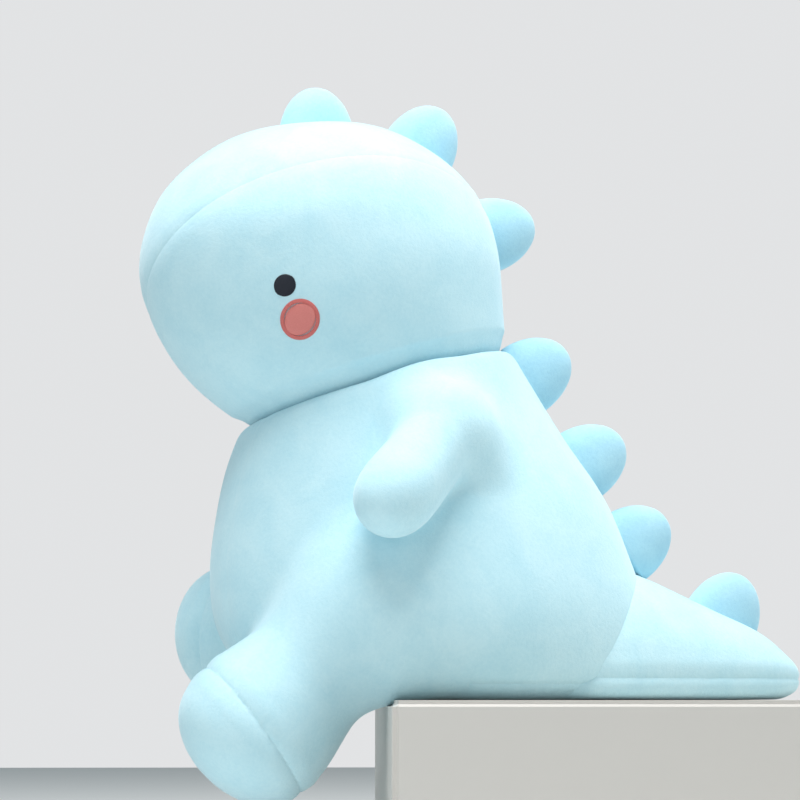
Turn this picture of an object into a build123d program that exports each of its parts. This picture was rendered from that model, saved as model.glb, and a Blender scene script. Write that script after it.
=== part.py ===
"""A sitting stuffed dinosaur: sewn panels over stuffing, seven back spikes, soft neck, limbs and tail.

Millimetres, +Z up. The dinosaur faces -Y and its own left side is +X. The origin is the middle of the
flat seat it rests on, so its left foot, which hangs down, lies below Z = 0.
"""
import os
from math import cos, pi, radians, sin, sqrt

from build123d import *

# ---- driving dimensions ----
CLOTH = 1.2                 # thickness of the pile fabric
GAP = 0.4                   # room kept between stuffing that moves and stuffing that does not

HEAD_CENTRE = (-82, 299)    # Y, Z of the middle of the head
HEAD_TILT = 17.5            # the nose hangs lower than the nape, degrees
HEAD_HALF_WIDTH = 115
NECK_RADIUS = 95.7          # of the seam between head and body
NECK_DROP = 87              # from the middle of the head down to the neck seam, square to the tilt
NECK_BACK = 10.75           # the neck seam sits this far behind the middle of the head
NECK_BALL = 134             # radius of the round underside of the head
NOD = (-12, 12)

SEAT_HALF_WIDTH = 98        # of the flat base under the body
BODY_HALF_WIDTH = 131       # at the hips, the widest place
BELLY_HALF_WIDTH = 52       # of the panel down the front
BASE_HEM = 9                # height of the seam between the base and the sides

TAIL_PIVOT = (130, -4)      # Y, Z of the middle of the round inner end of the tail
TAIL_BALL = 102
TAIL_KEEL = 14              # height of the seam between the tail's underside and its sides
TAIL_TIP = 250
TAIL_FREE = 152             # past this Y there is only tail
TAIL_CREST = 80             # behind its pivot the tail is lower than this, outside its round inner end
WAG = (-18, 18)

HIP = (84, -58, 52)
HIP_BALL = 47
LEG_LENGTH = 143
FOOT_RADIUS = 52
SOLE_SEAM = 101             # from the hip, along the leg
LEG_SKIN_START = 12         # the cloth of a leg begins here, along the leg
FOOT_ROOM_START = 40        # past this the leg swings in a room wide enough for its foot
FOOT_ROOM = 4.8             # kept free round the foot there
LEGS = {"left": (1, 46.5, 10, (-10, 52)), "right": (-1, 2, 30, (-45, 20))}   # side, droop, turn-out, range

SHOULDER = (104, -1, 175)
SHOULDER_BALL = 27
ARM_LENGTH = 98
ARM_RADIUS = 26
ARM_LEAN = (40, -36, -46)   # direction of the left arm, outwards, forwards and down
ARM_SKIN_START = 6
ARM_SWING = (-30, 45)

SPIKE_LENGTH = 54
SPIKE_HEIGHT = 31
SPIKE_THICKNESS = 25
SPIKE_SUNK = 7              # the middle of a spike's outline lies this far under the back
EYE_RADIUS = 7.3
CHEEK_RADIUS = 13.2
THREAD = 0.8                # thickness of the embroidery
EYE = (-33, -19)            # along and across the head's tilt, from its middle
CHEEK = (-30, -43)

BIG = 900


def leaning(y, z, lean):
    """A plane across the body at (y, z), rising to the back by lean degrees; its own X is the body's X."""
    return Plane(origin=(0, y, z), x_dir=(1, 0, 0), z_dir=(0, -sin(radians(lean)), cos(radians(lean))))


def oval(plane, half_width, half_length, shrink=0.0):
    """A closed oval face on a plane."""
    turns = [2 * pi * k / 16 for k in range(16)]
    points = [((half_width - shrink) * cos(t), (half_length - shrink) * sin(t)) for t in turns]
    return plane * make_face(Spline(*points, periodic=True))


def box_between(one, other):
    """The box from one corner to the opposite one."""
    size = [abs(b - a) for a, b in zip(one, other)]
    return Pos(*[(a + b) / 2 for a, b in zip(one, other)]) * Box(*size)


def above(z):
    return box_between((-BIG, -BIG, z), (BIG, BIG, z + BIG))


def side(sign):
    """Everything on one side of the middle of the body."""
    return box_between((0, -BIG, -BIG), (sign * BIG, BIG, BIG))


# ---- head ----
HEAD_SECTIONS = [           # height in the head, place of the middle, half length, half width share
    (-87, NECK_BACK, NECK_RADIUS, None),
    (-60, 4, 109, 0.93),
    (-28, 0.5, 120, 0.99),
    (5, -2.5, 123.5, 1.0),
    (36, -6, 117.5, 0.965),
    (64, -9, 100.5, 0.83),
    (86, -13, 76, 0.63),
    (100, -18, 45, 0.37),
    (106.4, -21, 21, 0.17),
]
HEAD_TOP = (108.5, -22)


def head_plane(up, along=0.0):
    """The plane across the head at a height in its own tilted frame."""
    lean = radians(HEAD_TILT)
    y = HEAD_CENTRE[0] + along * cos(lean) - up * sin(lean)
    z = HEAD_CENTRE[1] + along * sin(lean) + up * cos(lean)
    return leaning(y, z, HEAD_TILT)


def head_form(shrink=0.0):
    """The head above the neck seam, with its cloth taken off by shrink."""
    faces = []
    for up, middle, half_length, share in HEAD_SECTIONS:
        half_width = NECK_RADIUS if share is None else HEAD_HALF_WIDTH * share
        height = up if up <= 0 else up * (1 - shrink / HEAD_TOP[0])
        faces.append(oval(head_plane(height, middle), half_width, half_length, shrink))
    top = head_plane(HEAD_TOP[0] - shrink, HEAD_TOP[1]).origin
    return loft([*faces, Vertex(*top)])


BALL_UP = sqrt(NECK_BALL ** 2 - NECK_RADIUS ** 2) - NECK_DROP
BALL_MIDDLE = head_plane(BALL_UP, NECK_BACK).origin
NECK_PLANE = head_plane(-NECK_DROP, NECK_BACK)


def in_head(low, high):
    """A box given in the head's tilted frame: X, along the head, up."""
    lean = radians(HEAD_TILT)
    frame = Plane(origin=(0, *HEAD_CENTRE), x_dir=(1, 0, 0), z_dir=(0, -sin(lean), cos(lean)))
    return frame * box_between(low, high)


def crown_wedge():
    """The space over the two seams that run from the brow over the temples to the nape."""
    slope, ridge = 0.57, 2
    outline = [(0, ridge), (BIG, ridge + slope * BIG), (BIG, 3 * BIG), (-BIG, 3 * BIG),
               (-BIG, ridge + slope * BIG)]
    lean = radians(HEAD_TILT)
    across = Plane(origin=(0, *HEAD_CENTRE), x_dir=(1, 0, 0), z_dir=(0, -cos(lean), -sin(lean)))
    return extrude(across * make_face(Polyline(*outline, close=True)), BIG / 2, both=True)


# ---- body and tail ----
BODY_SECTIONS = [           # middle Y, middle Z, lean, half length, half width
    (-35.5, 172, 8.9, 116.4, 108),
    (-24, 128.5, 7, 135, 120),
    (-13, 83.5, 3.3, 146.2, 130),
    (-2, 41, 1.2, 148, BODY_HALF_WIDTH),
    (6, 12, 0, 133, 118),
]
SEAT_MIDDLE_Y = 15
SEAT_HALF_LENGTH = 110

TAIL_SECTIONS = [           # Y, height of the top, half width
    (78, 95, 94),
    (104, 93, 90),
    (128, 88.5, 81),
    (153, 78.5, 69),
    (180, 66, 56),
    (206, 54.5, 43),
    (228, 41, 30),
    (242, 28, 17),
]


def body_form(shrink=0.0):
    """The body from the neck seam down to the seat."""
    faces = [oval(NECK_PLANE, NECK_RADIUS, NECK_RADIUS, shrink)]
    for y, z, lean, half_length, half_width in BODY_SECTIONS:
        faces.append(oval(leaning(y, z, lean), half_width, half_length, shrink))
    faces.append(oval(leaning(SEAT_MIDDLE_Y, shrink, 0), SEAT_HALF_WIDTH, SEAT_HALF_LENGTH, shrink))
    return loft(faces)


def tail_form(shrink=0.0):
    """The tail: round above its keel, flat underneath."""
    faces = []
    for y, top, half_width in TAIL_SECTIONS:
        plane = Plane(origin=(0, y, TAIL_KEEL), x_dir=(1, 0, 0), z_dir=(0, -1, 0))
        faces.append(oval(plane, half_width, top - TAIL_KEEL, shrink))
    return loft([*faces, Vertex(0, TAIL_TIP - shrink, TAIL_KEEL)]) & above(shrink)


def trunk(shrink=0.0):
    """Body and tail as one form."""
    return body_form(shrink) + tail_form(shrink)


def tail_space(grow=0.0):
    """The space that belongs to the tail: the ball at its root and all that lies behind it."""
    ball = Pos(0, *TAIL_PIVOT) * Sphere(TAIL_BALL + grow)
    return ball + box_between((-BIG, TAIL_FREE - grow, -BIG), (BIG, BIG, BIG))


# ---- limbs ----
def rounded(ball, steps, length, blunt, shrink):
    """A limb's outline, as distance along it and radius: a ball, the steps, and a domed end.

    The dome is the last quarter of a superellipse from the last step; blunt says how square it is."""
    last_at, last_radius = steps[-1]
    reach = length - last_at
    root = [(-(ball - shrink) * cos(radians(t)), (ball - shrink) * sin(radians(t))) for t in (0, 30, 60, 90)]
    dome = []
    for turn in (25, 48, 68, 82, 90):
        along = (reach - shrink) * sin(radians(turn)) ** (2 / blunt)
        dome.append((last_at + along, (last_radius - shrink) * cos(radians(turn)) ** (2 / blunt)))
    dome[-1] = (length - shrink, 0)
    return [*root, *[(a, r - shrink) for a, r in steps], *dome]


LEG_STEPS = [(26, 45), (48, 44), (66, 47), (84, 51), (SOLE_SEAM, FOOT_RADIUS)]
ARM_STEPS = [(22, ARM_RADIUS), (44, ARM_RADIUS), (64, ARM_RADIUS + 0.8)]


def half_face(outline):
    """The face between an outline and its own axis."""
    curve = Spline(*outline)
    return make_face([*curve.edges(), Line(outline[-1], outline[0])])


def unit(v):
    length = sqrt(sum(c * c for c in v))
    return tuple(c / length for c in v)


def cross(a, b):
    return (a[1] * b[2] - a[2] * b[1], a[2] * b[0] - a[0] * b[2], a[0] * b[1] - a[1] * b[0])


class Limb:
    """A leg or an arm: a stuffed form turned about its own axis, on a ball in the body."""

    def __init__(self, root, axis, hinge, swing, ball, steps, length, blunt):
        self.root, self.axis, self.hinge, self.swing = root, unit(axis), unit(hinge), swing
        self.ball, self.steps, self.blunt = ball, (steps, length), blunt
        self.place = Plane(origin=root, x_dir=self.axis, z_dir=unit(cross(self.axis, self.hinge)))

    def plain_form(self, shrink=0.0):
        """The limb along its own X axis, with its root at zero."""
        outline = rounded(self.ball, *self.steps, self.blunt, shrink)
        return revolve(half_face(outline), Axis.X)

    def form(self, shrink=0.0):
        return self.place * self.plain_form(shrink)

    def panel(self, start, end, towards):
        """The cloth between two distances along the limb, on one side of it; 0 is all round."""
        outlines = [rounded(self.ball, *self.steps, self.blunt, shrink) for shrink in (0, CLOTH)]
        strip = half_face(outlines[0]) - half_face(outlines[1])
        strip = strip & (Pos((start + end) / 2, 0) * Rectangle(end - start, BIG))
        if towards == 0:
            return self.place * revolve(strip, Axis.X)
        return self.place * (Rot(-90 * towards, 0, 0) * revolve(strip, Axis.X, 180))

    def socket(self):
        return Pos(*self.root) * Sphere(self.ball + GAP)

    def slot(self):
        """The room under the belly that a leg swings in, wider where its foot is: above its raised limit
        and behind its lowered limit the body is whole."""
        raised, lowered = (radians(turn) for turn in reversed(self.swing))
        along = Plane(origin=self.root, x_dir=self.axis, z_dir=self.hinge)

        def point(turn, forward, up):
            return (forward * cos(turn) - up * sin(turn), forward * sin(turn) + up * cos(turn))

        def room(start, thick):
            outline = [point(raised, start, thick), point(raised, BIG / 2, thick),
                       point(lowered, BIG / 2, -thick), point(lowered, start, -thick)]
            return extrude(along * make_face(Polyline(*outline, close=True)), thick, both=True)

        return [room(0, self.ball + 2.5 * GAP), room(FOOT_ROOM_START, FOOT_RADIUS + FOOT_ROOM)]

    def dish(self):
        """The shallow cone in the body's side that an arm swings over."""
        side_sign = 1 if self.axis[0] > 0 else -1
        out = abs(self.axis[0])
        tangent = out / sqrt(1 - out * out)
        start = abs(self.root[0]) - (self.ball + GAP) / sqrt(1 - out * out)
        reach = 2 * self.ball
        cone = Plane(origin=(side_sign * start, *self.root[1:]), z_dir=(side_sign, 0, 0))
        return cone * (Pos(0, 0, reach * tangent) * Cone(0, 2 * reach, 2 * reach * tangent))


def leg(name):
    sign, droop, turn_out, swing = LEGS[name]
    out, down = radians(turn_out), radians(droop)
    axis = (sign * sin(out) * cos(down), -cos(out) * cos(down), -sin(down))
    hinge = (-cos(out), -sign * sin(out), 0)
    root = (sign * HIP[0], HIP[1], HIP[2])
    return Limb(root, axis, hinge, swing, HIP_BALL, LEG_STEPS, LEG_LENGTH, 2.15)


def arm(sign):
    axis = (sign * ARM_LEAN[0], ARM_LEAN[1], ARM_LEAN[2])
    root = (sign * SHOULDER[0], SHOULDER[1], SHOULDER[2])
    return Limb(root, axis, (-1, 0, 0), ARM_SWING, SHOULDER_BALL, ARM_STEPS, ARM_LENGTH, 2.2)


# ---- spikes ----
SPIKES = [                  # what it is sewn to, Y, Z, direction it points above the horizontal
    ("head", -87.5, 400, 93),
    ("head", -13, 389, 62),
    ("head", 37.5, 326, 16),
    ("body", 64, 226, 34),
    ("body", 102, 165, 33),
    ("body", 133, 108, 36),
    ("tail", 197, 58.5, 66),
]


def spike_form(y, z, points, shrink=0.0):
    """A soft rounded fin on the middle line, square to the back."""
    up = radians(points)
    frame = Plane(origin=(0, y - SPIKE_SUNK * cos(up), z - SPIKE_SUNK * sin(up)), x_dir=(1, 0, 0),
                  z_dir=(0, cos(up), sin(up)))
    size = [SPIKE_THICKNESS / 2, SPIKE_LENGTH / 2, SPIKE_HEIGHT + SPIKE_SUNK]
    grown = scale(Sphere(1), by=tuple(s - shrink for s in size))
    return frame * (grown & above(0))


# ---- the pieces ----
pieces = {}

head_outer, head_inner = head_form(), head_form(CLOTH)
head_cloth = head_outer - head_inner
crown = crown_wedge()
for name, sign in (("left", 1), ("right", -1)):
    pieces[f"crown_{name}"] = head_cloth & crown & side(sign)
    pieces[f"head_side_{name}"] = (head_cloth - crown) & side(sign)
neck_cap = (Pos(*BALL_MIDDLE) * Sphere(NECK_BALL)) & in_head((-BIG, -BIG, -BIG), (BIG, BIG, -NECK_DROP))
pieces["head_stuffing"] = head_inner + neck_cap

# ---- embroidery: thin discs that follow the head's surface ----
stitch_layer = head_form(-THREAD) - head_form(-0.05)
for name, (along, up), radius in (("eye", EYE, EYE_RADIUS), ("cheek", CHEEK, CHEEK_RADIUS)):
    middle = head_plane(up, along).origin
    column = Plane(origin=middle, z_dir=(1, 0, 0)) * Cylinder(radius, 2 * BIG)
    patches = stitch_layer & column
    for hand, sign in (("left", 1), ("right", -1)):
        pieces[f"{name}_{hand}"] = patches & side(sign)

# ---- body and tail ----
trunk_outer, trunk_inner = trunk(), trunk(CLOTH)
trunk_cloth = trunk_outer - trunk_inner
limbs = {"leg_left": leg("left"), "leg_right": leg("right"), "arm_left": arm(1), "arm_right": arm(-1)}
rooms = [Pos(*BALL_MIDDLE) * Sphere(NECK_BALL + GAP), tail_space(GAP)]
for name, limb in limbs.items():
    rooms += [limb.socket(), *(limb.slot() if name.startswith("leg") else [limb.dish()])]


def cleared(shape):
    for room in rooms:
        shape = shape - room
    return shape


body_cloth = cleared(trunk_cloth)
front = box_between((-BELLY_HALF_WIDTH, -BIG, BASE_HEM), (BELLY_HALF_WIDTH, SEAT_MIDDLE_Y, BIG))
hem = above(BASE_HEM)
pieces["base_panel"] = body_cloth - hem
pieces["belly_panel"] = body_cloth & front
for name, sign in (("left", 1), ("right", -1)):
    pieces[f"body_side_{name}"] = ((body_cloth & hem) - front) & side(sign)
pieces["body_stuffing"] = cleared(trunk_inner)

tail_cloth = trunk_cloth & tail_space()
pieces["tail_base"] = tail_cloth - above(TAIL_KEEL)
for name, sign in (("left", 1), ("right", -1)):
    pieces[f"tail_side_{name}"] = tail_cloth & above(TAIL_KEEL) & side(sign)
pieces["tail_stuffing"] = trunk_inner & tail_space()

# ---- legs and arms ----
for name, limb in limbs.items():
    is_leg = name.startswith("leg")
    start, end = (LEG_SKIN_START, SOLE_SEAM) if is_leg else (ARM_SKIN_START, BIG)
    outer_side = -1 if name.endswith("left") else 1      # the hinge of every limb points to the right
    pieces[f"{name}_outer"] = limb.panel(start, end, outer_side)
    pieces[f"{name}_inner"] = limb.panel(start, end, -outer_side)
    if is_leg:
        pieces[f"sole_{name.split('_')[1]}"] = limb.panel(end, BIG, 0)
    pieces[f"{name}_stuffing"] = limb.form(CLOTH)

# ---- spikes: two panels and their stuffing each, flush on the back they are sewn to ----
wagging = Pos(0, *TAIL_PIVOT) * Sphere(TAIL_BALL + GAP)
wagging = wagging + box_between((-BIG, TAIL_PIVOT[0], -BIG), (BIG, BIG, TAIL_CREST))
sewn_to = {"head": [head_outer], "body": [trunk_outer, wagging], "tail": [trunk_outer]}
for number, (parent, y, z, points) in enumerate(SPIKES, 1):
    whole, filling = spike_form(y, z, points), spike_form(y, z, points, CLOTH)
    panels = whole - filling
    for under in sewn_to[parent]:
        panels, filling = panels - under, filling - under
    for name, sign in (("left", 1), ("right", -1)):
        pieces[f"spike_{number}_{name}"] = panels & side(sign)
    pieces[f"spike_{number}_stuffing"] = filling

if __name__ == "__main__":
    os.makedirs("parts", exist_ok=True)
    for name, piece in pieces.items():
        solids = piece.solids()
        biggest = max(s.volume for s in solids)
        kept = [s for s in solids if s.volume > 0.01 * biggest]
        print(f"{name}: {len(kept)} solid, {sum(s.volume for s in kept) / 1000:.1f} cm3")
        export_step(Compound(children=kept) if len(kept) > 1 else kept[0], f"parts/{name}.step")
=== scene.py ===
"""The sitting stuffed dinosaur: sewn plush skins, embroidered face and soft back spikes on the CAD frame.

Metres, +Z up. The dinosaur faces -Y and its own left side is +X. Every skin is the zero surface of a smooth
field: oval sections stacked along a spine for the head, the body and the tail, and a turned outline for each
limb. Seams are sewn in afterwards, as narrow grooves along flat cuts.
"""
import math

import bmesh
import bpy
import numpy as np
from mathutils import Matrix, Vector


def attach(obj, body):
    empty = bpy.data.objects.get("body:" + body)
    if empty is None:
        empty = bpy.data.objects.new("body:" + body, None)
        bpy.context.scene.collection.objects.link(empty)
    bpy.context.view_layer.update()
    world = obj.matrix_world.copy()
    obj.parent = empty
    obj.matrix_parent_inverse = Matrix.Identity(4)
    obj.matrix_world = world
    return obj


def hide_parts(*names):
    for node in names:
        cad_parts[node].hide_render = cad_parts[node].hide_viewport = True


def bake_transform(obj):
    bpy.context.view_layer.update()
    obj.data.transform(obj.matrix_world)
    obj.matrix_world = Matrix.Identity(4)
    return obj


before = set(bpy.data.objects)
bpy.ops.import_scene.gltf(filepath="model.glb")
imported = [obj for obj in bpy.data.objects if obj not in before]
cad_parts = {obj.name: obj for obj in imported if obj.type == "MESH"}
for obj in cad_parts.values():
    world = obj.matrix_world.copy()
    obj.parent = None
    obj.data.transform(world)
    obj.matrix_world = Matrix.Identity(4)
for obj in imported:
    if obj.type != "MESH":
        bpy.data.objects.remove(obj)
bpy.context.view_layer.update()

MM = 0.001
STEP = 1.9 * MM          # size of a skin's faces
HEAD_CENTRE = (-0.082, 0.299)                     # Y, Z
HEAD_TILT = math.radians(17.5)
NECK_BALL = 0.134                                 # the round underside of the head
NECK_BALL_MIDDLE = (0.0, -0.0737909, 0.308713)
CUT_ENDS, CUT_FADE = -0.060, 0.05                 # the neck ball cuts the head below this height
HEM = 0.009                                       # height of the seam round the flat base
KEEL = 0.014                                      # height of the seam round the flat base of the tail
BELLY_HALF_WIDTH = 0.052
TAIL_START = 0.060
SHOULDER = (0.104, -0.001, 0.175)
HIP = (0.084, -0.058, 0.052)
SOLE_SEAM = 0.101                                 # from the hip, along the leg
CAMERA_AZIMUTH, CAMERA_DISTANCE, CAMERA_WIDTH = 88, 1.80, 0.560
CAMERA_TARGET = (0.0, -0.028, 0.208)


# ---- curves and fields ----
def curve(xs, ys):
    """A natural cubic through the points, straight beyond its ends."""
    xs, ys = np.array(xs, float), np.array(ys, float)
    if xs[0] > xs[-1]:
        xs, ys = xs[::-1], ys[::-1]
    gaps, rises = np.diff(xs), np.diff(ys)
    count = len(xs)
    system, right = np.eye(count), np.zeros(count)
    for i in range(1, count - 1):
        system[i, i - 1:i + 2] = gaps[i - 1], 2 * (gaps[i - 1] + gaps[i]), gaps[i]
        right[i] = 6 * (rises[i] / gaps[i] - rises[i - 1] / gaps[i - 1])
    bends = np.linalg.solve(system, right)
    first = rises[0] / gaps[0] - gaps[0] * bends[1] / 6
    last = rises[-1] / gaps[-1] + gaps[-1] * bends[-2] / 6

    def value(x):
        held = np.clip(x, xs[0], xs[-1])
        i = np.clip(np.searchsorted(xs, held) - 1, 0, count - 2)
        left, right_of = held - xs[i], xs[i + 1] - held
        inner = (bends[i] * right_of ** 3 + bends[i + 1] * left ** 3) / (6 * gaps[i])
        inner += (ys[i] / gaps[i] - gaps[i] * bends[i] / 6) * right_of
        inner += (ys[i + 1] / gaps[i] - gaps[i] * bends[i + 1] / 6) * left
        return inner + np.minimum(x - xs[0], 0) * first + np.maximum(x - xs[-1], 0) * last

    return value


def smooth_min(a, b, reach):
    """The smaller of two fields, rounded where they are within reach of each other."""
    h = np.maximum(reach - np.abs(a - b), 0)
    return np.minimum(a, b) - h * h / (4 * reach)


def smooth_max(a, b, reach):
    """The larger of two fields, rounded the same way."""
    return -smooth_min(-a, -b, reach)


def smooth_step(low, high, x):
    """0 below low, 1 above high, and an S curve between them."""
    t = np.clip((x - low) / (high - low), 0, 1)
    return t * t * (3 - 2 * t)


def oval_field(across, along, width_squared, ratio_squared):
    """Roughly the distance outside an oval of that half width, and of the ratio of half length to it."""
    value = across ** 2 + along ** 2 / ratio_squared - width_squared
    steepness = 2 * np.sqrt(across ** 2 + (along / ratio_squared) ** 2)
    return value / np.maximum(steepness, 0.02)


HEAD_UP = (-87, -60, -28, 5, 36, 64, 86, 100, 108.5)
HEAD_MIDDLE = curve(np.array(HEAD_UP) * MM, np.array((10.75, 4, 0.5, -2.5, -6, -9, -13, -18, -22)) * MM)
HEAD_LENGTH = np.array((95.7, 109, 120, 123.5, 117.5, 100.5, 76, 45, 0)) * MM
HEAD_SHARE = np.array((1.0, 0.981, 0.949, 0.931, 0.944, 0.95, 0.953, 0.946, 0.95))   # half width by length
HEAD_WIDTH_SQUARED = curve(np.array(HEAD_UP) * MM, (HEAD_LENGTH * HEAD_SHARE) ** 2)
HEAD_RATIO_SQUARED = curve(np.array(HEAD_UP) * MM, 1 / HEAD_SHARE ** 2)

BODY_HEIGHT = np.array((219.3, 172, 128.5, 83.5, 41, 12, 0)) * MM
BODY_MIDDLE = curve(BODY_HEIGHT, np.array((-45.6, -35.5, -24, -13, -2, 6, 9)) * MM)
BODY_SLOPE = curve(BODY_HEIGHT, np.tan(np.radians((17.5, 8.9, 7, 3.3, 1.2, 0, 0))))
BODY_WIDTH = np.array((95.7, 108, 120, 130, 131, 121, 113)) * MM
BODY_LENGTH = np.array((95.7, 116.4, 135, 146.2, 148, 136, 127)) * MM
BODY_WIDTH_SQUARED = curve(BODY_HEIGHT, BODY_WIDTH ** 2)
BODY_RATIO_SQUARED = curve(BODY_HEIGHT, (BODY_LENGTH / BODY_WIDTH) ** 2)

TAIL_ALONG = np.array((78, 104, 128, 153, 180, 206, 228, 242, 250)) * MM
TAIL_RISE = np.array((81, 79, 74.5, 64.5, 52, 40.5, 27, 14.5, 7)) * MM              # above the keel
TAIL_WIDTH = np.array((94, 90, 81, 69, 56, 43, 30, 17, 8)) * MM
TAIL_WIDTH_SQUARED = curve(TAIL_ALONG, (TAIL_WIDTH * (1, 1, 1, 1, 1, 1, 1, 1, 0)) ** 2)
TAIL_RATIO_SQUARED = curve(TAIL_ALONG, (TAIL_RISE / TAIL_WIDTH) ** 2)


def head_frame(p):
    """How far each point is along the head to the back, and up, square to its tilt."""
    y, z = p[:, 1] - HEAD_CENTRE[0], p[:, 2] - HEAD_CENTRE[1]
    c, s = math.cos(HEAD_TILT), math.sin(HEAD_TILT)
    return y * c + z * s, z * c - y * s


def head_point(x, along, up):
    """The way back from the head's own directions."""
    c, s = math.cos(HEAD_TILT), math.sin(HEAD_TILT)
    return x, HEAD_CENTRE[0] + along * c - up * s, HEAD_CENTRE[1] + along * s + up * c


def neck_ball(p):
    """The distance outside the ball that the head turns on."""
    return np.linalg.norm(p - NECK_BALL_MIDDLE, axis=1) - NECK_BALL


def head_field(p):
    """The head: its ovals, cut by the neck ball near the bottom only."""
    along, up = head_frame(p)
    shell = oval_field(p[:, 0], along - HEAD_MIDDLE(up), HEAD_WIDTH_SQUARED(up), HEAD_RATIO_SQUARED(up))
    below = neck_ball(p) - CUT_FADE * smooth_step(CUT_ENDS - 0.024, CUT_ENDS, up)
    return smooth_max(shell, below, 0.010)


def body_field(p):
    """The body: leaning ovals, dished by the neck ball on top and flat underneath."""
    height = p[:, 2].copy()
    for _ in range(10):                            # finds the height of the oval through each point
        height = p[:, 2] - (p[:, 1] - BODY_MIDDLE(height)) * BODY_SLOPE(height)
    lean = np.sqrt(1 + BODY_SLOPE(height) ** 2)
    along = (p[:, 1] - BODY_MIDDLE(height)) * lean
    shell = oval_field(p[:, 0], along, BODY_WIDTH_SQUARED(height), BODY_RATIO_SQUARED(height))
    rimmed = smooth_max(shell, -neck_ball(p) + 0.0006, 0.014)
    return smooth_max(rimmed, -p[:, 2], 0.016)


def tail_field(p):
    """The tail: upright ovals on the keel, flat underneath, starting inside the body."""
    y = p[:, 1]
    shell = oval_field(p[:, 0], p[:, 2] - KEEL, TAIL_WIDTH_SQUARED(y), TAIL_RATIO_SQUARED(y))
    flat = smooth_max(shell, -p[:, 2], 0.012)
    return np.maximum(flat, TAIL_START - y)


# A limb's table of distances: points on its outline, millimetres round it, and rows worked out at a time.
OUTLINE_POINTS, TABLE_MARGIN, BATCH = 700, 62, 4000


def unit(v):
    return np.array(v, float) / np.linalg.norm(v)


class Limb:
    """A leg or an arm: an outline turned about an axis, on a ball in the body.

    steps are the outline's (along, radius) in millimetres between the ball and the blunt end. merge is the
    direction, the least and the greatest reach, and where between them it changes."""

    def __init__(self, root, axis, outward, ball, steps, length, blunt, merge):
        self.root, self.axis, self.outward, self.merge = np.array(root), unit(axis), unit(outward), merge
        last_at, last_radius = steps[-1]
        rear = [(-ball * math.cos(t), ball * math.sin(t)) for t in np.radians((0, 30, 60, 90))]
        dome = []
        for turn in np.radians((25, 48, 68, 82, 90)):
            rim = math.cos(turn) ** (2 / blunt) if turn < 1.57 else 0.0
            dome.append((last_at + (length - last_at) * math.sin(turn) ** (2 / blunt), last_radius * rim))
        line = np.array([*rear, *steps, *dome]) * MM
        run = np.concatenate(([0], np.cumsum(np.linalg.norm(np.diff(line, axis=0), axis=1))))
        fine = np.linspace(0, run[-1], OUTLINE_POINTS)
        outline = np.stack([curve(run, line[:, 0])(fine), curve(run, line[:, 1])(fine)], 1)
        self.start, self.cell = -(ball + TABLE_MARGIN) * MM, 1.0 * MM
        shape = (length + ball + 2 * TABLE_MARGIN, max(ball, last_radius) + TABLE_MARGIN)
        shape = (int(shape[0]), int(shape[1]))
        at = self.start + np.arange(shape[0]) * self.cell
        out = np.arange(shape[1]) * self.cell
        nodes = np.stack(np.meshgrid(at, out, indexing="ij"), -1).reshape(-1, 2)
        nearest = np.empty(len(nodes))
        for i in range(0, len(nodes), BATCH):
            gaps = nodes[i:i + BATCH, None, :] - outline[None]
            nearest[i:i + BATCH] = np.sqrt((gaps ** 2).sum(2).min(1))
        order = np.argsort(outline[:, 0])
        radius = np.interp(nodes[:, 0], outline[order, 0], outline[order, 1], left=-1, right=-1)
        self.table = np.where(nodes[:, 1] < radius, -nearest, nearest).reshape(shape)

    def along(self, p):
        return (p - self.root) @ self.axis

    def field(self, p):
        a = self.along(p)
        out = np.linalg.norm(p - self.root - a[:, None] * self.axis, axis=1)
        i = np.clip((a - self.start) / self.cell, 0, self.table.shape[0] - 1.001)
        j = np.clip(out / self.cell, 0, self.table.shape[1] - 1.001)
        i0, j0 = i.astype(int), j.astype(int)
        fi, fj = i - i0, j - j0
        near = self.table[i0, j0] * (1 - fi) + self.table[i0 + 1, j0] * fi
        far = self.table[i0, j0 + 1] * (1 - fi) + self.table[i0 + 1, j0 + 1] * fi
        return near * (1 - fj) + far * fj

    def reach(self, p):
        """How far from the limb the cloth of the body rises to meet it: further towards one side."""
        toward, low, high, start, end = self.merge
        return low + (high - low) * smooth_step(start, end, (p - self.root) @ np.array(toward))

    def joined(self, p):
        """The limb and the body as one form."""
        return smooth_min(self.field(p), body_field(p), self.reach(p))


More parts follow.
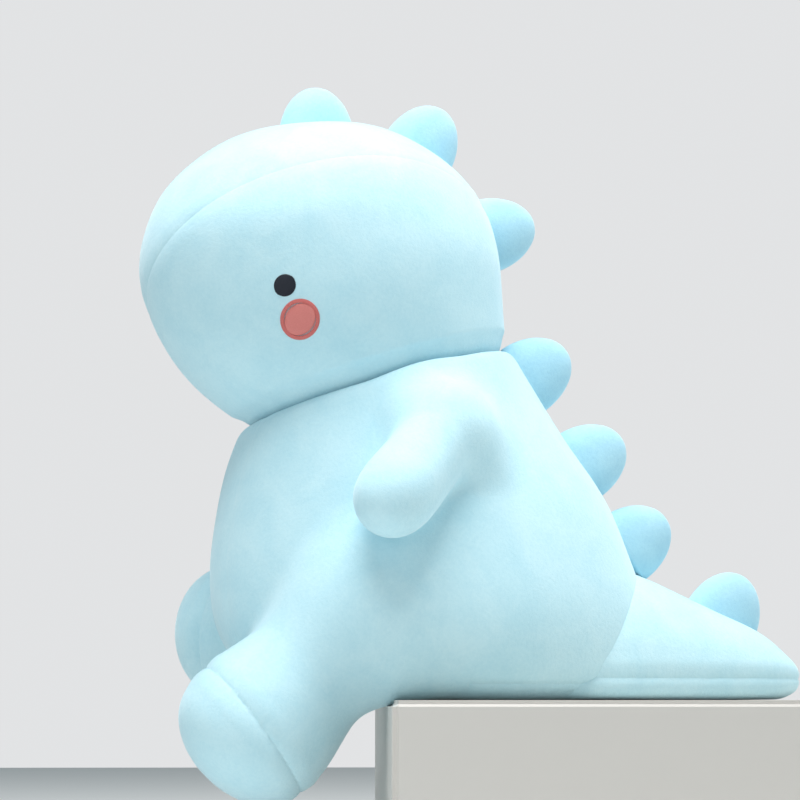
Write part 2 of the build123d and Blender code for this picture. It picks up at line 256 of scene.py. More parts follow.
# ---- skins ----
def surface(field, low, high, step):
    """The zero surface of a field in a box, as points and four-sided faces that point outwards."""
    axes = [np.arange(a, b + step, step) for a, b in zip(low, high)]
    shape = [len(a) for a in axes]
    values = np.empty(shape)
    plane = np.stack(np.meshgrid(axes[1], axes[2], indexing="ij"), -1).reshape(-1, 2)
    for i, x in enumerate(axes[0]):
        values[i] = field(np.column_stack([np.full(len(plane), x), plane])).reshape(shape[1:])
    inside = values < 0
    total, count = np.zeros([n - 1 for n in shape] + [3]), np.zeros([n - 1 for n in shape])
    crossings = []
    for axis in range(3):
        a = [slice(None)] * 3
        b = [slice(None)] * 3
        a[axis], b[axis] = slice(0, -1), slice(1, None)
        va, vb = values[tuple(a)], values[tuple(b)]
        crossed = inside[tuple(a)] != inside[tuple(b)]
        crossings.append((crossed, inside[tuple(a)]))
        share = np.where(crossed, va / np.where(crossed, va - vb, 1), 0)
        others = [k for k in range(3) if k != axis]
        for du in (0, 1):
            for dv in (0, 1):
                cut = [slice(None)] * 3
                cut[others[0]] = slice(du, shape[others[0]] - 1 + du)
                cut[others[1]] = slice(dv, shape[others[1]] - 1 + dv)
                here = crossed[tuple(cut)]
                total[..., axis] += np.where(here, share[tuple(cut)], 0)
                total[..., others[0]] += here * du
                total[..., others[1]] += here * dv
                count += here
    used = count > 0
    number = np.full(used.shape, -1)
    number[used] = np.arange(used.sum())
    cells = np.argwhere(used)
    points = (cells + total[used] / count[used][:, None]) * step + np.array([a[0] for a in axes])
    faces = []
    for axis, (crossed, outward) in enumerate(crossings):
        u, v = (axis + 1) % 3, (axis + 2) % 3
        at = np.argwhere(crossed)
        at = at[(at[:, u] > 0) & (at[:, v] > 0) & (at[:, u] < shape[u] - 1) & (at[:, v] < shape[v] - 1)]
        corners = []
        for du, dv in ((1, 1), (0, 1), (0, 0), (1, 0)):
            cell = at.copy()
            cell[:, u] -= du
            cell[:, v] -= dv
            corners.append(number[tuple(cell.T)])
        quads = np.stack(corners, 1)
        flip = ~outward[tuple(at.T)]
        quads[flip] = quads[flip][:, ::-1]
        faces.append(quads)
    kept, faces = np.unique(np.concatenate(faces), return_inverse=True)
    return points[kept], faces.reshape(-1, 4)


def gradient(field, p, h=0.4 * MM):
    parts = []
    for k in range(3):
        step = np.zeros(3)
        step[k] = h
        parts.append((field(p + step) - field(p - step)) / (2 * h))
    return np.stack(parts, 1)


def onto(field, p, rounds=2):
    """The points, moved straight onto the field's surface."""
    for _ in range(rounds):
        slope = gradient(field, p)
        squared = np.maximum((slope ** 2).sum(1), 0.05)
        move = (field(p) / squared)[:, None] * slope
        p = p - np.clip(move, -2 * MM, 2 * MM)
    return p


def relaxed(field, points, faces, rounds=3):
    """The points evened out along the surface."""
    edges = np.concatenate([faces[:, [k, (k + 1) % 4]] for k in range(4)])
    for _ in range(rounds):
        total, count = np.zeros_like(points), np.zeros(len(points))
        for a, b in ((0, 1), (1, 0)):
            for k in range(3):
                total[:, k] += np.bincount(edges[:, a], points[edges[:, b], k], len(points))
            count += np.bincount(edges[:, a], minlength=len(points))
        points = onto(field, points * 0.4 + 0.6 * total / count[:, None], 1)
    return onto(field, points)


def new_object(name, mesh):
    obj = bpy.data.objects.new(name, mesh)
    bpy.context.scene.collection.objects.link(obj)
    return obj


def mesh_of(name, points, faces):
    mesh = bpy.data.meshes.new(name)
    mesh.from_pydata(points.tolist(), [], faces.tolist())
    mesh.update()
    return mesh


def get_points(mesh):
    flat = np.empty(len(mesh.vertices) * 3)
    mesh.vertices.foreach_get("co", flat)
    return flat.reshape(-1, 3)


def set_points(mesh, points):
    mesh.vertices.foreach_set("co", points.ravel())
    mesh.update()


class Seam:
    """A sewn line where a flat cut meets the skin: a narrow groove with small puckers beside it.

    where(p) says which points of the cut belong to the seam."""

    def __init__(self, at, normal, depth, width=2.2 * MM, where=None, pucker=0.25 * MM):
        self.at, self.normal = np.array(at, float), unit(normal)
        self.depth, self.width, self.pucker = depth, width, pucker
        self.where = where or (lambda p: np.ones(len(p)))

    def distance(self, p):
        return (p - self.at) @ self.normal


UNEVEN = 0.5 * MM                                 # how far the stuffing pushes the cloth in and out
SWELL = 0.35                                      # how high the cloth rises beside a seam, by its depth
PUCKER_WAVES = unit((0.7, -0.4, 0.6)), unit((-0.3, 0.8, 0.5)), unit((0.5, 0.6, -0.6))


def ripple(p, length):
    """A gentle uneven wave between -1 and 1."""
    waves = [np.sin(p @ w * (2 * math.pi / length) * s + k) for k, (w, s) in
             enumerate(zip(PUCKER_WAVES, (1.0, 0.77, 1.31)))]
    return sum(waves) / 3


def sew(mesh, field, seams):
    """Cuts an edge loop along every seam, then pulls the skin in along it."""
    bm = bmesh.new()
    bm.from_mesh(mesh)
    for seam in seams:
        bmesh.ops.bisect_plane(bm, geom=bm.verts[:] + bm.edges[:] + bm.faces[:], dist=1e-6,
                               plane_co=seam.at, plane_no=seam.normal)
    bmesh.ops.remove_doubles(bm, verts=bm.verts, dist=0.12 * MM)
    bm.to_mesh(mesh)
    bm.free()
    points = onto(field, get_points(mesh), 1)
    outward = gradient(field, points)
    outward /= np.linalg.norm(outward, axis=1)[:, None]
    moved = UNEVEN * ripple(points, 0.085)
    on_seam = np.zeros(len(points), bool)
    for seam in seams:
        gap = np.abs(seam.distance(points))
        share = seam.where(points)
        groove = seam.depth * np.exp(-gap / seam.width)
        swell = SWELL * seam.depth * np.exp(-((gap - 4.5 * seam.width) / (2 * seam.width)) ** 2)
        puckers = seam.pucker * ripple(points, 0.011) * np.exp(-gap / 0.005)
        moved += share * (swell - groove + puckers)
        on_seam |= (gap < 1e-5) & (share > 0.5)
    set_points(mesh, points + outward * moved[:, None])
    flags = np.zeros(len(mesh.edges) * 2, int)
    mesh.edges.foreach_get("vertices", flags)
    ends = flags.reshape(-1, 2)
    sharp = mesh.attributes.new("sharp_edge", "BOOLEAN", "EDGE")
    sharp.data.foreach_set("value", on_seam[ends].all(1))
    mesh.polygons.foreach_set("use_smooth", np.ones(len(mesh.polygons), bool))
    mesh.update()


def skin(name, field, low, high, seams):
    """A field's surface as an even mesh with its seams sewn in."""
    points, faces = surface(field, low, high, STEP)
    points = relaxed(field, points, faces)
    mesh = mesh_of(name, points, faces)
    sew(mesh, field, seams)
    return mesh


# ---- materials ----
def node(tree, kind, inputs=(), **settings):
    """A new node. An input's value may be a number or another node's output."""
    made = tree.nodes.new(kind)
    for key, value in settings.items():
        setattr(made, key, value)
    for key, value in dict(inputs).items():
        if hasattr(value, "is_output"):
            tree.links.new(value, made.inputs[key])
        else:
            made.inputs[key].default_value = value
    return made


def plush(name, colour, deep):
    """Short dense velvety pile: fine fibre grain, soft brushed patches and a pale sheen."""
    material = bpy.data.materials.new(name)
    material.use_nodes = True
    tree = material.node_tree
    shader = tree.nodes["Principled BSDF"]
    place = node(tree, "ShaderNodeTexCoord").outputs["Object"]
    brushed = node(tree, "ShaderNodeTexNoise", {"Vector": place, "Scale": 34.0, "Detail": 3.0,
                                                 "Roughness": 0.55, "Distortion": 0.6})
    tufts = node(tree, "ShaderNodeTexNoise", {"Vector": place, "Scale": 420.0, "Detail": 2.0})
    fibres = node(tree, "ShaderNodeTexNoise", {"Vector": place, "Scale": 1700.0, "Detail": 3.0})
    mixed = node(tree, "ShaderNodeMath", {0: brushed.outputs["Fac"], 1: 0.55}, operation="MULTIPLY")
    grain = node(tree, "ShaderNodeMath", {0: tufts.outputs["Fac"], 1: 0.3, 2: mixed.outputs[0]},
                 operation="MULTIPLY_ADD")
    shade = node(tree, "ShaderNodeMath", {0: fibres.outputs["Fac"], 1: 0.25, 2: grain.outputs[0]},
                 operation="MULTIPLY_ADD")
    ramp = node(tree, "ShaderNodeValToRGB", {"Fac": shade.outputs[0]})
    ramp.color_ramp.elements[0].position = 0.38
    ramp.color_ramp.elements[0].color = (*deep, 1)
    ramp.color_ramp.elements[1].position = 0.68
    ramp.color_ramp.elements[1].color = (*colour, 1)
    tree.links.new(ramp.outputs["Color"], shader.inputs["Base Color"])
    soft = node(tree, "ShaderNodeBump", {"Height": tufts.outputs["Fac"], "Distance": 0.00035,
                                          "Strength": 0.5})
    fine = node(tree, "ShaderNodeBump", {"Height": fibres.outputs["Fac"], "Distance": 0.00022,
                                          "Strength": 0.6, "Normal": soft.outputs["Normal"]})
    tree.links.new(fine.outputs["Normal"], shader.inputs["Normal"])
    shader.inputs["Roughness"].default_value = 0.95
    shader.inputs["Specular IOR Level"].default_value = 0.12
    shader.inputs["Sheen Weight"].default_value = 0.55
    shader.inputs["Sheen Roughness"].default_value = 0.45
    shader.inputs["Sheen Tint"].default_value = (0.86, 0.96, 1.0, 1)
    return material


def thread(name, colour, deep):
    """Shiny embroidery thread: fine twist lines and a soft highlight."""
    material = bpy.data.materials.new(name)
    material.use_nodes = True
    tree = material.node_tree
    shader = tree.nodes["Principled BSDF"]
    place = node(tree, "ShaderNodeTexCoord").outputs["Object"]
    twist = node(tree, "ShaderNodeTexNoise", {"Vector": place, "Scale": 1500.0, "Detail": 2.0})
    ramp = node(tree, "ShaderNodeValToRGB", {"Fac": twist.outputs["Fac"]})
    ramp.color_ramp.elements[0].color = (*deep, 1)
    ramp.color_ramp.elements[1].color = (*colour, 1)
    tree.links.new(ramp.outputs["Color"], shader.inputs["Base Color"])
    bump = node(tree, "ShaderNodeBump", {"Height": twist.outputs["Fac"], "Distance": 0.0001, "Strength": 0.5})
    tree.links.new(bump.outputs["Normal"], shader.inputs["Normal"])
    shader.inputs["Roughness"].default_value = 0.55
    shader.inputs["Specular IOR Level"].default_value = 0.35
    return material


PLUSH = plush("plush pale cyan", (0.61, 0.87, 0.94), (0.51, 0.80, 0.89))
SPIKE_PLUSH = plush("plush spike blue", (0.50, 0.80, 0.92), (0.40, 0.71, 0.86))
EYE_THREAD = thread("eye thread", (0.022, 0.027, 0.042), (0.010, 0.012, 0.020))
CHEEK_THREAD = thread("cheek thread", (0.83, 0.30, 0.27), (0.70, 0.21, 0.19))
CHEEK_RIM = thread("cheek rim thread", (0.74, 0.21, 0.19), (0.60, 0.14, 0.13))


def finish_skin(name, mesh, material, nodes):
    """A padded piece of cloth that stands for the frame's nodes."""
    mesh.materials.append(material)
    mesh.name = name
    obj = new_object(name, mesh)
    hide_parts(*nodes)
    return obj


MIDLINE = (1, 0, 0)


def behind(y):
    """A seam's share of the points: all of those behind y."""
    return lambda p: smooth_step(y - 0.01, y + 0.01, p[:, 1])


# ---- head ----
CROWN_SLOPE, CROWN_RIDGE = 0.57, 0.002


def crown_seam(sign):
    """One of the two seams that bound the crown, from the brow over the temple to the nape."""
    lean = np.array((0, -math.sin(HEAD_TILT), math.cos(HEAD_TILT)))
    normal = lean - CROWN_SLOPE * sign * np.array(MIDLINE)
    return Seam(head_point(0, 0, CROWN_RIDGE), normal, 0.5 * MM, pucker=0.12 * MM,
                where=lambda p: p[:, 0] * sign > -1e-6)


head_seams = [crown_seam(1), crown_seam(-1), Seam((0, 0, 0), MIDLINE, 0.8 * MM)]
head_mesh = skin("head", head_field, (-0.128, -0.222, 0.168), (0.128, 0.056, 0.418), head_seams)
head = finish_skin("head_skin", head_mesh, PLUSH,
                   ["head_stuffing", "crown_left", "crown_right", "head_side_left", "head_side_right"])
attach(head, "head")

# ---- body ----
body_seams = [Seam((0, 0, HEM), (0, 0, 1), 1.3 * MM),
              Seam((0, 0, 0), MIDLINE, 0.9 * MM, where=behind(0.03))]
for sign in (1, -1):
    body_seams.append(Seam((sign * BELLY_HALF_WIDTH, 0, 0), MIDLINE, 0.35 * MM, pucker=0.12 * MM,
                           where=lambda p: 1 - behind(-0.03)(p)))
body_mesh = skin("body", body_field, (-0.142, -0.172, -0.008), (0.142, 0.156, 0.275), body_seams)
body = finish_skin("body_skin", body_mesh, PLUSH,
                   ["body_stuffing", "belly_panel", "base_panel", "body_side_left", "body_side_right"])
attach(body, "torso")

# ---- tail ----
tail_seams = [Seam((0, 0, KEEL), (0, 0, 1), 1.1 * MM), Seam((0, 0, 0), MIDLINE, 0.8 * MM)]
tail_mesh = skin("tail", tail_field, (-0.104, 0.050, -0.008), (0.104, 0.262, 0.106), tail_seams)
tail = finish_skin("tail_skin", tail_mesh, PLUSH,
                   ["tail_stuffing", "tail_base", "tail_side_left", "tail_side_right"])
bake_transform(tail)

# ---- legs and arms ----
SOLE_SEAM_TILT = 9                                # degrees
NO_SOLE = 2.0                                     # metres: past the end of any limb
CLOTH = 1.2 * MM
SLEEVE_TRIM = 2 * MM                              # the sleeve stops this far short of where the blend ends
FOLD_ANGLE = 70                                   # degrees: sharper edges than this are shaded as folds
LEG_STEPS = ((26, 45), (48, 44), (66, 47), (84, 51), (101, 52))
ARM_STEPS = ((22, 26), (44, 26), (64, 26.8))


def leg(sign, droop, turn_out):
    """A leg that points forward, hangs by the droop and turns out from the middle, in degrees."""
    out, down = math.radians(turn_out), math.radians(droop)
    axis = (sign * math.sin(out) * math.cos(down), -math.cos(out) * math.cos(down), -math.sin(down))
    outward = (sign * math.cos(out), math.sin(out), 0)
    return Limb((sign * HIP[0], HIP[1], HIP[2]), axis, outward, 47, LEG_STEPS, 143, 2.15,
                (outward, 0.012, 0.044, -0.010, 0.040))


def arm(sign):
    root = (sign * SHOULDER[0], SHOULDER[1], SHOULDER[2])
    axis = unit((sign * 40, -36, -46))
    return Limb(root, axis, (sign, 0, 0), 27, ARM_STEPS, 98, 2.2, (-axis, 0.007, 0.040, -0.040, 0.005))


def limb_seams(limb, sole):
    """The seam along the limb between its two panels and, on a leg, the one round its sole."""
    across = np.cross(limb.axis, limb.outward)
    seams = [Seam(limb.root, np.cross(limb.axis, across), 0.3 * MM, pucker=0.1 * MM,
                  where=lambda p: smooth_step(0.04, 0.07, limb.along(p)) * (limb.along(p) < sole))]
    if sole < NO_SOLE:
        tilt = math.radians(SOLE_SEAM_TILT)
        normal = limb.axis * math.cos(tilt) + unit(across) * math.sin(tilt) * np.sign(unit(across)[2])
        seams.append(Seam(limb.root + limb.axis * sole, normal, 1.5 * MM))
    return seams


def limb_skin(name, limb, low, high, seams, nodes):
    """The limb's own closed form, and over it the sleeve of cloth that runs out onto the body."""
    inner = skin(name, lambda p: limb.field(p) + 0.5 * MM, low, high, seams)
    points, faces = surface(limb.joined, low, high, STEP)
    points = relaxed(limb.joined, points, faces)
    sleeve = mesh_of(name + " sleeve", points, faces)
    sew(sleeve, limb.joined, seams)
    points = get_points(sleeve)
    raised = limb.field(points) < limb.reach(points) - SLEEVE_TRIM
    bm = bmesh.new()
    bm.from_mesh(sleeve)
    bm.verts.ensure_lookup_table()
    loose = [f for f in bm.faces if not any(raised[v.index] for v in f.verts)]
    bmesh.ops.delete(bm, geom=loose, context="FACES")
    bm.to_mesh(sleeve)
    bm.free()
    shell = new_object(name + " sleeve", sleeve)
    solid = shell.modifiers.new("cloth", "SOLIDIFY")
    solid.thickness, solid.offset = CLOTH, -1
    made = bpy.data.meshes.new_from_object(shell.evaluated_get(bpy.context.evaluated_depsgraph_get()))
    bpy.data.objects.remove(shell)
    made.set_sharp_from_angle(angle=math.radians(FOLD_ANGLE))
    bm = bmesh.new()
    bm.from_mesh(made)
    bm.from_mesh(inner)
    bm.to_mesh(made)
    bm.free()
    made.materials.clear()
    obj = finish_skin(name + "_skin", made, PLUSH, nodes)
    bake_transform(obj)


for hand, sign, droop, turn_out in (("left", 1, 46, 10), ("right", -1, 2, 32)):
    limb = leg(sign, droop, turn_out)
    tip = limb.root + limb.axis * 0.1
    low, high = np.minimum(limb.root, tip) - 0.105, np.maximum(limb.root, tip) + 0.105
    limb_skin(f"leg_{hand}", limb, low, high, limb_seams(limb, SOLE_SEAM),
              [f"leg_{hand}_stuffing", f"leg_{hand}_outer", f"leg_{hand}_inner", f"sole_{hand}"])
    limb = arm(sign)
    tip = limb.root + limb.axis * 0.065
    low, high = np.minimum(limb.root, tip) - 0.085, np.maximum(limb.root, tip) + 0.085
    limb_skin(f"arm_{hand}", limb, low, high, limb_seams(limb, NO_SOLE),
              [f"arm_{hand}_stuffing", f"arm_{hand}_outer", f"arm_{hand}_inner"])

# ---- spikes ----
SPIKES = (("head", -87.5, 400, 93), ("head", -13, 389, 62), ("head", 37.5, 326, 16),
          ("torso", 64, 226, 34), ("torso", 102, 165, 33), ("torso", 133, 108, 36), ("tail", 197, 58.5, 66))
SPIKE_HALF_LENGTH, SPIKE_TOP, SPIKE_HALF_THICKNESS, SPIKE_SUNK = 0.027, 0.038, 0.0125, 0.007
SPIKE_BOTTOM = 0.006                              # the part inside the back, below its middle
SPIKE_BLUNT = 0.86
RIM_WIDTH, RIM_DEPTH, RIM_PUCKER = 1.6 * MM, 1.3 * MM, 0.3 * MM
SPIKE_RINGS, SPIKE_TURNS = 40, 96


def spike_mesh(y, z, points_up):
    """A small stuffed fin: two puffed faces that meet in a seam round its rim, flattened inside the back."""
    up = math.radians(points_up)
    tall, long = np.array((0, math.cos(up), math.sin(up))), np.array((0, math.sin(up), -math.cos(up)))
    middle = np.array((0, y * MM, z * MM)) - tall * SPIKE_SUNK
    rings, turns = SPIKE_RINGS, SPIKE_TURNS
    points, faces = [], []
    for i in range(1, rings):
        across = math.pi * i / rings
        for j in range(turns):
            turn = 2 * math.pi * j / turns
            rim = math.sin(across) ** SPIKE_BLUNT
            height = math.sin(turn) * rim
            height *= SPIKE_TOP if height > 0 else SPIKE_BOTTOM
            side = np.array((math.cos(across) * SPIKE_HALF_THICKNESS, 0, 0))
            points.append(middle + long * math.cos(turn) * rim * SPIKE_HALF_LENGTH + tall * height + side)
    points += [middle + np.array((s * SPIKE_HALF_THICKNESS, 0, 0)) for s in (1, -1)]
    for i in range(rings - 2):
        for j in range(turns):
            k = (j + 1) % turns
            faces.append((i * turns + j, (i + 1) * turns + j, (i + 1) * turns + k, i * turns + k))
    last = (rings - 2) * turns
    for j in range(turns):
        k = (j + 1) % turns
        faces.append((len(points) - 2, j, k))
        faces.append((len(points) - 1, last + k, last + j))
    points = np.array(points)
    near_rim = np.exp(-np.abs(points[:, 0]) / RIM_WIDTH)
    from_middle = points - middle
    from_middle[:, 0] = 0
    reach = np.linalg.norm(from_middle, axis=1)[:, None]
    pull = (RIM_DEPTH + RIM_PUCKER * ripple(points, 0.01))[:, None]
    points -= from_middle / np.maximum(reach, 1e-6) * pull * near_rim[:, None]
    mesh = bpy.data.meshes.new("spike")
    mesh.from_pydata(points.tolist(), [], faces)
    bm = bmesh.new()
    bm.from_mesh(mesh)
    bmesh.ops.recalc_face_normals(bm, faces=bm.faces)
    bm.to_mesh(mesh)
    bm.free()
    mesh.polygons.foreach_set("use_smooth", np.ones(len(mesh.polygons), bool))
    return mesh


for number, (parent, y, z, points_up) in enumerate(SPIKES, 1):
    spike = finish_skin(f"spike_{number}_skin", spike_mesh(y, z, points_up), SPIKE_PLUSH,
                        [f"spike_{number}_{part}" for part in ("left", "right", "stuffing")])
    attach(spike, parent)


# ---- embroidery ----
def stitch_tree(name, material):
    """Satin stitches side by side: a strip of threads cut to a disc, or a ring of short ones."""
    tree = bpy.data.node_groups.new(name, "GeometryNodeTree")
    tree.interface.new_socket("Geometry", in_out="OUTPUT", socket_type="NodeSocketGeometry")
    for label in ("Radius", "Inner radius", "Thread"):
        tree.interface.new_socket(label, in_out="INPUT", socket_type="NodeSocketFloat")
    tree.interface.new_socket("Threads", in_out="INPUT", socket_type="NodeSocketInt")
    given = node(tree, "NodeGroupInput").outputs
    radius, inner, thick, count = (given[k] for k in ("Radius", "Inner radius", "Thread", "Threads"))

    def calc(operation, a, b=0.0, c=0.0):
        return node(tree, "ShaderNodeMath", {0: a, 1: b, 2: c}, operation=operation).outputs[0]

    index = node(tree, "GeometryNodeInputIndex").outputs[0]
    share = calc("DIVIDE", calc("ADD", index, 0.5), count)
    row = calc("MULTIPLY", calc("SUBTRACT", calc("MULTIPLY", share, 2.0), 1.0), radius)
    chord = calc("SQRT", calc("MAXIMUM", calc("SUBTRACT", calc("MULTIPLY", radius, radius),
                                              calc("MULTIPLY", row, row)), 1e-8))
    ringed = calc("GREATER_THAN", inner, 0.0)
    turn = calc("MULTIPLY", share, 2 * math.pi)
    middle = calc("MULTIPLY", calc("ADD", radius, inner), 0.5)
    half = calc("MULTIPLY", calc("SUBTRACT", radius, inner), 0.5)

    def choose(plain, ring):
        unringed = calc("MULTIPLY", calc("SUBTRACT", 1.0, ringed), plain)
        return calc("ADD", unringed, calc("MULTIPLY", ringed, ring))

    place = node(tree, "ShaderNodeCombineXYZ", {
        "X": choose(row, calc("MULTIPLY", calc("COSINE", turn), middle)),
        "Y": choose(0.0, calc("MULTIPLY", calc("SINE", turn), middle))})
    points = node(tree, "GeometryNodePoints", {"Count": count, "Position": place.outputs[0]})
    rod = node(tree, "GeometryNodeMeshCylinder", {"Vertices": 8, "Side Segments": 10, "Radius": 1.0,
                                                  "Depth": 2.0})
    at = node(tree, "GeometryNodeInputPosition").outputs[0]
    split = node(tree, "ShaderNodeSeparateXYZ", {0: at}).outputs
    taper = calc("POWER", calc("SUBTRACT", 1.0001, calc("POWER", calc("ABSOLUTE", split["Z"]), 4.0)), 0.5)
    tapered = node(tree, "ShaderNodeCombineXYZ", {"X": calc("MULTIPLY", split["X"], taper),
                                                  "Y": calc("MULTIPLY", split["Y"], taper), "Z": split["Z"]})
    rounded = node(tree, "GeometryNodeSetPosition", {"Geometry": rod.outputs["Mesh"],
                                                     "Position": tapered.outputs[0]})
    lying = node(tree, "GeometryNodeTransform", {"Geometry": rounded.outputs[0],
                                                 "Rotation": (math.pi / 2, 0.0, 0.0)})
    size = node(tree, "ShaderNodeCombineXYZ", {"X": thick, "Y": choose(chord, half), "Z": thick})
    spin = node(tree, "ShaderNodeCombineXYZ", {"Z": choose(0.0, calc("SUBTRACT", turn, math.pi / 2))})
    lay = node(tree, "GeometryNodeInstanceOnPoints", {"Points": points.outputs[0],
                                                      "Instance": lying.outputs[0],
                                                      "Rotation": spin.outputs[0],
                                                      "Scale": size.outputs[0]})
    real = node(tree, "GeometryNodeRealizeInstances", {"Geometry": lay.outputs[0]})
    painted = node(tree, "GeometryNodeSetMaterial", {"Geometry": real.outputs[0], "Material": material})
    end = node(tree, "NodeGroupOutput")
    tree.links.new(painted.outputs[0], end.inputs[0])
    return tree


def stitches(tree, radius, inner, thick, count):
    """A flat patch of stitches, as a mesh of its own."""
    carrier = new_object("stitch carrier", bpy.data.meshes.new("stitch carrier"))
    layer = carrier.modifiers.new("stitches", "NODES")
    layer.node_group = tree
    wanted = {"Radius": radius, "Inner radius": inner, "Thread": thick, "Threads": count}
    for item in tree.interface.items_tree:
        if item.in_out == "INPUT":
            layer[item.identifier] = wanted[item.name]
    made = bpy.data.meshes.new_from_object(carrier.evaluated_get(bpy.context.evaluated_depsgraph_get()))
    bpy.data.objects.remove(carrier)
    return made


def laid_on_head(mesh, sign, along, up, crown, radius, turned):
    """Lays a flat patch on the side of the head, crowned by its own thickness."""
    flat = get_points(mesh)
    c, s = math.cos(turned), math.sin(turned)
    u, v = flat[:, 0] * c - flat[:, 1] * s, flat[:, 0] * s + flat[:, 1] * c
    _, y, z = head_point(0, along + u, up + v)
    low, high = np.full(len(u), 0.03), np.full(len(u), 0.13)
    for _ in range(30):
        x = (low + high) / 2
        out = head_field(np.column_stack([x, y, z])) > 0
        high, low = np.where(out, x, high), np.where(out, low, x)
    base = np.column_stack([(low + high) / 2, y, z])
    outward = gradient(head_field, base)
    outward /= np.linalg.norm(outward, axis=1)[:, None]
    puff = crown * np.sqrt(np.clip(1 - (np.hypot(flat[:, 0], flat[:, 1]) / radius) ** 2, 0, 1))
    laid = base + outward * (flat[:, 2] + puff + 0.25 * MM)[:, None]
    laid[:, 0] *= sign
    set_points(mesh, laid)
    if sign < 0:
        mesh.flip_normals()
    mesh.polygons.foreach_set("use_smooth", np.ones(len(mesh.polygons), bool))
    return mesh


EYE_TREE = stitch_tree("eye satin stitch", EYE_THREAD)
CHEEK_TREE = stitch_tree("cheek filling stitch", CHEEK_THREAD)
RIM_TREE = stitch_tree("cheek rim stitch", CHEEK_RIM)
EYE_AT, CHEEK_AT = (-0.033, -0.019), (-0.030, -0.043)    # along and up the head

STITCH_TURN = math.radians(25)                    # the threads lean this far from the head's own up

# Each layer: tree, radius, inner radius of a ring, half thickness of a thread in mm, threads, crown in mm.
EYE_LAYERS = (EYE_TREE, 0.0073, 0.0, 0.34, 34, 0.5), (EYE_TREE, 0.0073, 0.0060, 0.36, 84, 0.1)
CHEEK_LAYERS = (CHEEK_TREE, 0.0108, 0.0, 0.36, 44, 0.6), (RIM_TREE, 0.0132, 0.0104, 0.42, 130, 0.5)


def embroidered(name, sign, place, layers):
    """One mesh of the layers of stitches laid at a place on the head."""
    bm = bmesh.new()
    materials = []
    for tree, radius, inner, thick, count, crown in layers:
        patch = stitches(tree, radius, inner, thick * MM, count)
        patch = laid_on_head(patch, sign, *place, crown * MM, radius, STITCH_TURN)
        first = len(bm.faces)
        bm.from_mesh(patch)
        bm.faces.ensure_lookup_table()
        material = tree.nodes["Set Material"].inputs["Material"].default_value
        if material not in materials:
            materials.append(material)
        for face in bm.faces[first:]:
            face.material_index = materials.index(material)
    mesh = bpy.data.meshes.new(name)
    bm.to_mesh(mesh)
    bm.free()
    for material in materials:
        mesh.materials.append(material)
    return mesh


for hand, sign in (("left", 1), ("right", -1)):
    for kind, place, layers in (("eye", EYE_AT, EYE_LAYERS), ("cheek", CHEEK_AT, CHEEK_LAYERS)):
        name = f"{kind}_{hand}"
        patch = new_object(name + "_stitches", embroidered(name, sign, place, layers))
        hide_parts(name)
        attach(patch, "head")


# ---- stage, light and camera ----
def plain(name, colour, roughness):
    material = bpy.data.materials.new(name)
    material.use_nodes = True
    shader = material.node_tree.nodes["Principled BSDF"]
    shader.inputs["Base Color"].default_value = (*colour, 1)
    shader.inputs["Roughness"].default_value = roughness
    return material


def stage_box(name, low, high, material, bevel):
    bm = bmesh.new()
    bmesh.ops.create_cube(bm, size=1)
    for v in bm.verts:
        v.co = [low[k] if v.co[k] < 0 else high[k] for k in range(3)]
    if bevel:
        bmesh.ops.bevel(bm, geom=bm.edges[:], offset=bevel, segments=3, affect="EDGES")
    mesh = bpy.data.meshes.new(name)
    bm.to_mesh(mesh)
    bm.free()
    mesh.materials.append(material)
    obj = new_object(name, mesh)
    return obj


FLOOR, SEAT = -0.125, -0.0006                     # heights of the floor and of the top of the plinth
PALE_FLOOR = plain("pale floor", (0.78, 0.78, 0.77), 0.7)
PALE_PLINTH = plain("pale plinth", (0.66, 0.63, 0.59), 0.6)
stage_box("floor", (-3, -3, FLOOR - 0.02), (3, 3, FLOOR), PALE_FLOOR, 0)
stage_box("plinth", (-0.21, -0.040, FLOOR), (0.21, 0.30, SEAT), PALE_PLINTH, 0.004)


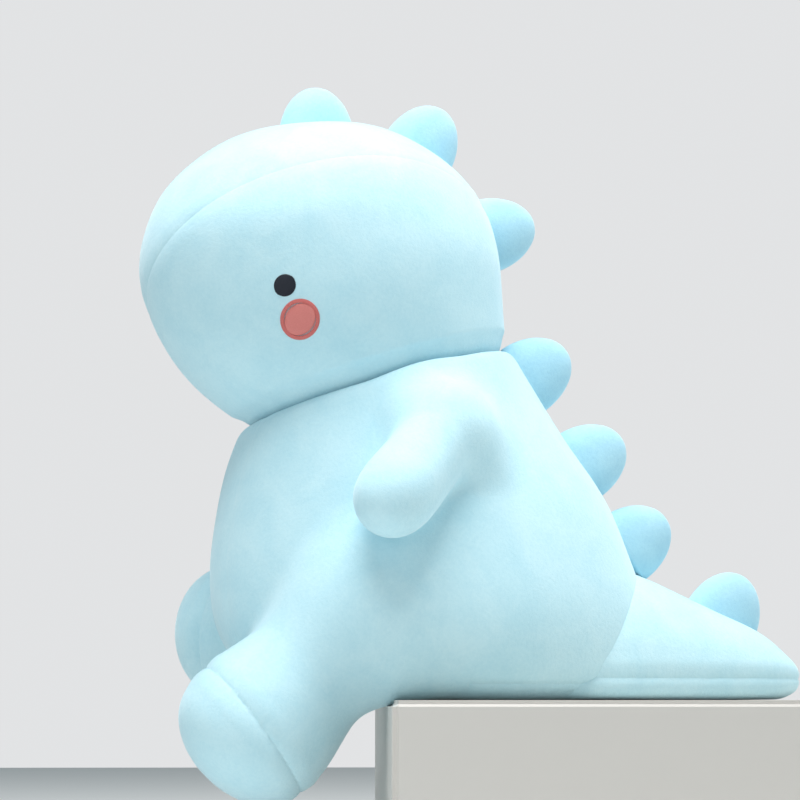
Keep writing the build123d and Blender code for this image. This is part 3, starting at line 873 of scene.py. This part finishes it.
def area_light(name, place, target, size, power):
    """A round white lamp at a place, turned to its target."""
    data = bpy.data.lights.new(name, "AREA")
    data.shape, data.size, data.energy = "DISK", size, power
    obj = bpy.data.objects.new(name, data)
    bpy.context.scene.collection.objects.link(obj)
    obj.location = place
    direction = np.array(target) - np.array(place)
    obj.rotation_euler = Vector(direction).to_track_quat("-Z", "Y").to_euler()


area_light("top light", (0.4, -0.1, 1.9), (0, 0, 0.2), 1.3, 44)
area_light("front light", (2.0, -1.3, 0.9), (0, 0, 0.2), 1.6, 7)
area_light("back light", (-0.4, 1.8, 1.0), (0, 0, 0.2), 1.2, 13)

# The sky lights the scene, and the camera sees the backdrop in its place.
world = bpy.data.worlds.new("studio")
world.use_nodes = True
sky = world.node_tree.nodes["Background"]
sky.inputs["Color"].default_value = (0.80, 0.94, 1.0, 1)
sky.inputs["Strength"].default_value = 0.33
backdrop = node(world.node_tree, "ShaderNodeBackground", {"Color": (0.76, 0.77, 0.78, 1), "Strength": 1.0})
seen = node(world.node_tree, "ShaderNodeLightPath").outputs["Is Camera Ray"]
mixed = node(world.node_tree, "ShaderNodeMixShader", {0: seen, 1: sky.outputs[0], 2: backdrop.outputs[0]})
world.node_tree.links.new(mixed.outputs[0], world.node_tree.nodes["World Output"].inputs["Surface"])
bpy.context.scene.view_settings.view_transform = "Standard"
bpy.context.scene.world = world

rise = math.asin(CAMERA_TARGET[2] / CAMERA_DISTANCE)
azimuth = math.radians(CAMERA_AZIMUTH)
toward = np.array((math.sin(azimuth) * math.cos(rise), -math.cos(azimuth) * math.cos(rise), -math.sin(rise)))
camera_data = bpy.data.cameras.new("camera")
camera_data.sensor_width = 36
camera_data.lens = 36 * CAMERA_DISTANCE / CAMERA_WIDTH
camera = bpy.data.objects.new("camera", camera_data)
camera.location = np.array(CAMERA_TARGET) + toward * CAMERA_DISTANCE
camera.rotation_euler = Vector(-toward).to_track_quat("-Z", "Y").to_euler()
bpy.context.scene.collection.objects.link(camera)
bpy.context.scene.camera = camera
